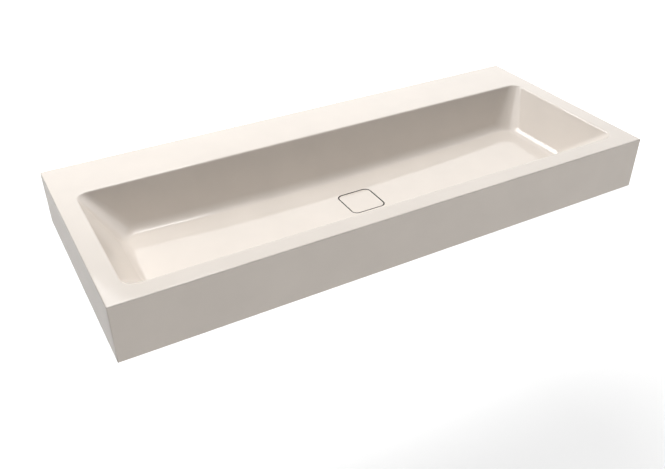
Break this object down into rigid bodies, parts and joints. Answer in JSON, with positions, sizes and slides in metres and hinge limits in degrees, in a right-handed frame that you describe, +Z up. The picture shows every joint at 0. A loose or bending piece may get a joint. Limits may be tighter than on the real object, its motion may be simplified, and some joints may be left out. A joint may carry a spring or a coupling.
{
  "type": "wall-hung washbasin",
  "caption": "Long rectangular wall-hung washbasin in enamelled steel, with a sloped bowl, a wide back deck, a square lift-off drain cover, a waste and wall bolts.",
  "frame": {"origin": "on the wall plane, midway between the two hanger bolts", "axes": "+X along the basin to the right as seen from the room, +Y into the wall, +Z up"},
  "size_m": [1.2, 0.57, 0.166],
  "materials": {
    "enamel": "gloss vitreous enamel on steel",
    "bitumen": "matt deadening mat",
    "zinc_steel": "bright zinc plating",
    "white_plastic": "moulded nylon",
    "chrome_brass": "chrome plating on brass",
    "bare_brass": "machined",
    "seal_rubber": "matt",
    "stainless": "machined stainless steel",
    "grey_plastic": "moulded acetal"
  },
  "bodies": {
    "basin": {"bowl_pressing": "enamel", "apron_skirt": "enamel", "return_flange": "enamel", "sound_pad_left": "bitumen", "sound_pad_right": "bitumen", "wall_rail": "zinc_steel", "hanger_bolts": "zinc_steel", "bolt_sleeves": "white_plastic", "bolt_washers": "zinc_steel", "bolt_nuts": "zinc_steel", "waste_body": "chrome_brass", "flange_gasket": "seal_rubber", "lower_gasket": "seal_rubber", "slip_washer": "white_plastic", "lock_nut": "bare_brass"},
    "cover": {"drain_cover": "enamel", "cover_boss": "stainless", "cover_feet": "seal_rubber", "cover_stem": "grey_plastic", "stem_ring": "seal_rubber", "stem_screw": "stainless"}
  },
  "joints": [
    {"name": "cover_lift", "type": "slide", "parent": "basin", "child": "cover", "axis": [0, 0, 1], "range_m": [0, 0.14]}
  ]
}
